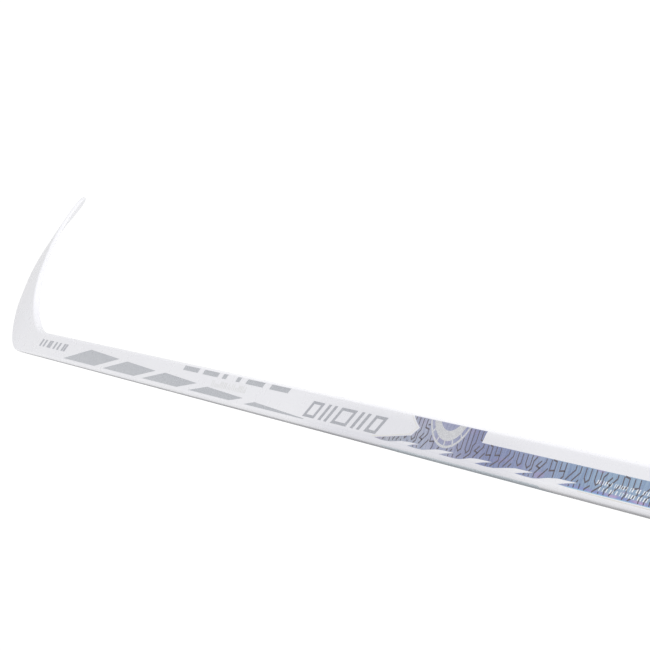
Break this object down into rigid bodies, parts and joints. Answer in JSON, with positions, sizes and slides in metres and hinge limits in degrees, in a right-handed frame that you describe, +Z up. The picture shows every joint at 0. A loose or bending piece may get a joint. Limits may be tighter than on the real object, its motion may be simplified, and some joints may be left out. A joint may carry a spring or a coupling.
{
  "type": "ice hockey stick",
  "caption": "Left-handed one-piece composite ice hockey stick: tapered hollow shaft, curved blade and pull-out butt end plug.",
  "frame": {"origin": "on the blade's flat ice edge near the heel, in the shaft's mid plane, where the blade's curve begins", "axes": "+Z up from the ice, +X along the ice from the toe towards the butt end, +Y towards the forehand (concave) face; the shaft rises 45 degrees in the XZ plane"},
  "size_m": [1.3751, 0.0844, 1.0982],
  "materials": {
    "white_laminate": "gloss white lacquer over woven composite laminate",
    "carbon_laminate": "bare cured carbon laminate",
    "epoxy": "cured structural adhesive",
    "foam": "closed-cell structural foam",
    "plug_plastic": "moulded matt black plastic",
    "silver_foil": "satin silver foil with fine flake",
    "dark_print": "dark grey ink",
    "iridescent_film": "colour-shifting violet-blue film"
  },
  "bodies": {
    "stick": {"shaft_tube": "white_laminate", "hosel_shell": "white_laminate", "blade_backhand_skin": "white_laminate", "blade_forehand_skin": "white_laminate", "blade_top_edge_wrap": "white_laminate", "blade_bottom_edge_wrap": "white_laminate", "blade_toe_wrap": "white_laminate", "blade_tenon": "carbon_laminate", "blade_rib": "carbon_laminate", "tenon_adhesive": "epoxy", "hosel_foam": "foam", "blade_lower_core": "foam", "blade_upper_core": "foam", "taper_foam_plug": "foam", "backhand_rhomboid_foils": "silver_foil", "backhand_block_foils": "silver_foil", "backhand_bar_foils": "silver_foil", "backhand_heel_ticks": "dark_print", "backhand_film": "iridescent_film", "forehand_rhomboid_foils": "silver_foil", "forehand_bar_foils": "silver_foil", "forehand_film": "iridescent_film"},
    "butt_end_plug": {"butt_plug": "plug_plastic"}
  },
  "joints": [
    {"name": "butt_plug_slide", "type": "slide", "parent": "stick", "child": "butt_end_plug", "axis": [0.7071, 0, 0.7071], "range_m": [0, 0.07]}
  ]
}
